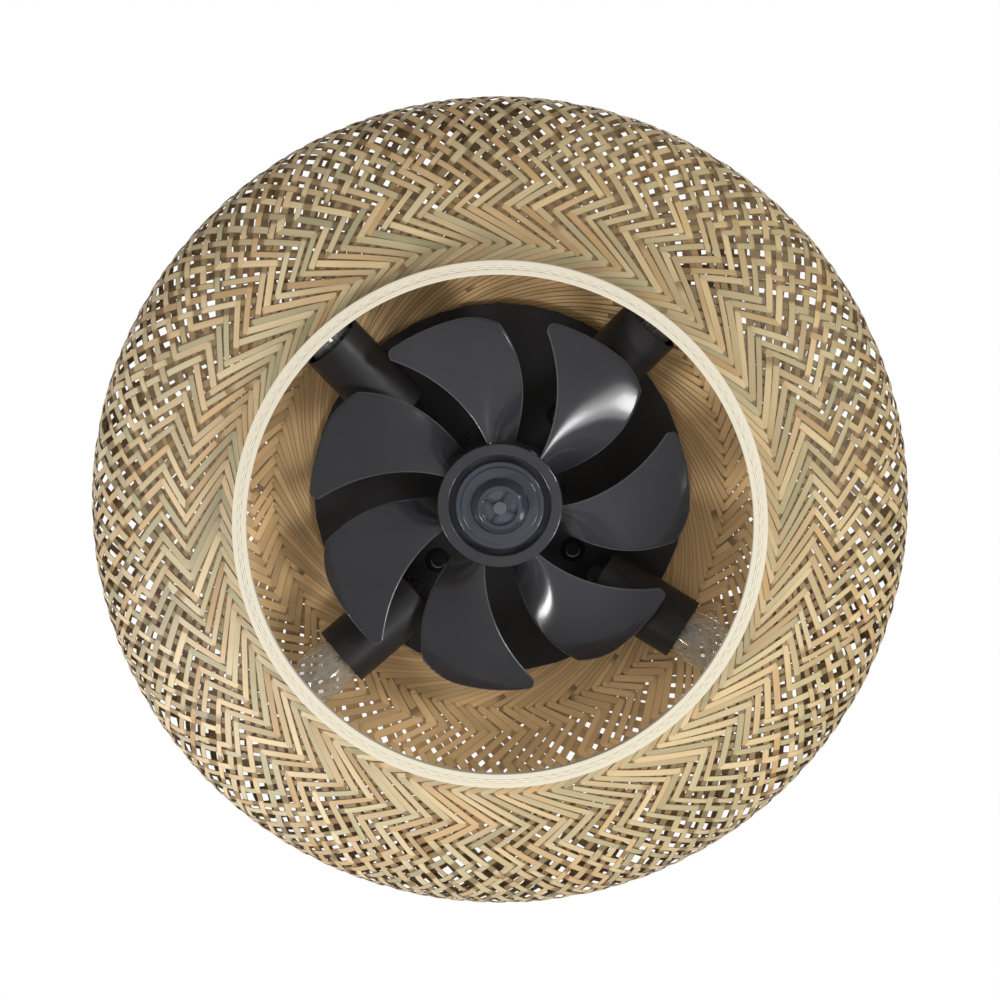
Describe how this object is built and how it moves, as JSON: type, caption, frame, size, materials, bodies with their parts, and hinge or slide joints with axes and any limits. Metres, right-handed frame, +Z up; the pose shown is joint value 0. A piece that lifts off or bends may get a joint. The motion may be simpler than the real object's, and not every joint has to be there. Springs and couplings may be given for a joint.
{
  "type": "ceiling fan",
  "caption": "Flush ceiling fan with a swept-blade impeller and lamps in sleeves inside a round woven bamboo shade hung from a black pan.",
  "frame": {"origin": "middle of the flat face that meets the ceiling", "axes": "+Z up through the ceiling along the fan's axis, +X along the ceiling bracket's strap"},
  "size_m": [0.5, 0.5, 0.213],
  "materials": {
    "black_paint": "matt black powder paint on steel",
    "zinc": "zinc plated sheet steel",
    "bright_steel": "ground and plated steel",
    "bamboo_weave": "split bamboo strips, woven, natural straw and brown",
    "bamboo_hoop": "pale planed bamboo",
    "smoked_plastic": "smoked translucent plastic, glossy",
    "clear_plastic": "clear blue-grey plastic, glossy",
    "white_plastic": "white moulded plastic",
    "copper": "enamelled copper wire",
    "magnet": "ferrite magnet",
    "clear_glass": "clear blown glass",
    "black_rubber": "moulded rubber"
  },
  "bodies": {
    "root": {"base_pan": "black_paint", "bulb_cap_1": "bright_steel", "bulb_cap_2": "bright_steel", "bulb_cap_3": "bright_steel", "bulb_cap_4": "bright_steel", "bulb_glass_1": "clear_glass", "bulb_glass_2": "clear_glass", "bulb_glass_3": "clear_glass", "bulb_glass_4": "clear_glass", "ceiling_bracket": "zinc", "controller_box": "white_plastic", "lamp_bracket_1": "black_paint", "lamp_bracket_2": "black_paint", "lamp_bracket_3": "black_paint", "lamp_bracket_4": "black_paint", "lamp_nipple_1": "black_paint", "lamp_nipple_2": "black_paint", "lamp_nipple_3": "black_paint", "lamp_nipple_4": "black_paint", "lamp_sleeve_1": "black_paint", "lamp_sleeve_2": "black_paint", "lamp_sleeve_3": "black_paint", "lamp_sleeve_4": "black_paint", "lampholder_1": "white_plastic", "lampholder_2": "white_plastic", "lampholder_3": "white_plastic", "lampholder_4": "white_plastic", "lower_bearing_outer_race": "bright_steel", "motor_housing_lower": "zinc", "motor_housing_upper": "zinc", "motor_screw_1": "black_paint", "motor_screw_2": "black_paint", "motor_screw_3": "black_paint", "mouth_hoop_inner": "bamboo_hoop", "mouth_hoop_outer": "bamboo_hoop", "pan_side_screw_1": "bright_steel", "pan_side_screw_2": "bright_steel", "shade_clip_1": "black_paint", "shade_clip_2": "black_paint", "shade_clip_3": "black_paint", "shade_mouth_band": "bamboo_weave", "shade_belly_band": "bamboo_weave", "shade_crown_band": "bamboo_weave", "stator_core": "zinc", "stator_windings": "copper", "top_hoop_inner": "bamboo_hoop", "top_hoop_outer": "bamboo_hoop", "upper_bearing_outer_race": "bright_steel", "wire_grommet_1": "black_rubber", "wire_grommet_2": "black_rubber", "wire_grommet_3": "black_rubber", "wire_grommet_4": "black_rubber"},
    "rotor": {"rotor_core": "magnet", "motor_shaft": "bright_steel", "lower_bearing_inner_race": "bright_steel", "upper_bearing_inner_race": "bright_steel", "impeller": "smoked_plastic", "spinner": "clear_plastic"},
    "lower_cage": {"lower_bearing_ball_cage": "bright_steel"},
    "upper_cage": {"upper_bearing_ball_cage": "bright_steel"}
  },
  "joints": [
    {"name": "fan_spin", "type": "hinge", "parent": "root", "child": "rotor", "pos_m": [0, 0, -0.1], "axis": [0, 0, 1], "continuous": true},
    {"name": "lower_cage_spin", "type": "hinge", "parent": "root", "child": "lower_cage", "pos_m": [0, 0, -0.1037], "axis": [0, 0, 1], "continuous": true},
    {"name": "upper_cage_spin", "type": "hinge", "parent": "root", "child": "upper_cage", "pos_m": [0, 0, -0.0562], "axis": [0, 0, 1], "continuous": true}
  ],
  "couplings": [
    {"joint": "lower_cage_spin", "follows": "fan_spin", "ratio": 0.3677},
    {"joint": "upper_cage_spin", "follows": "fan_spin", "ratio": 0.3677}
  ]
}
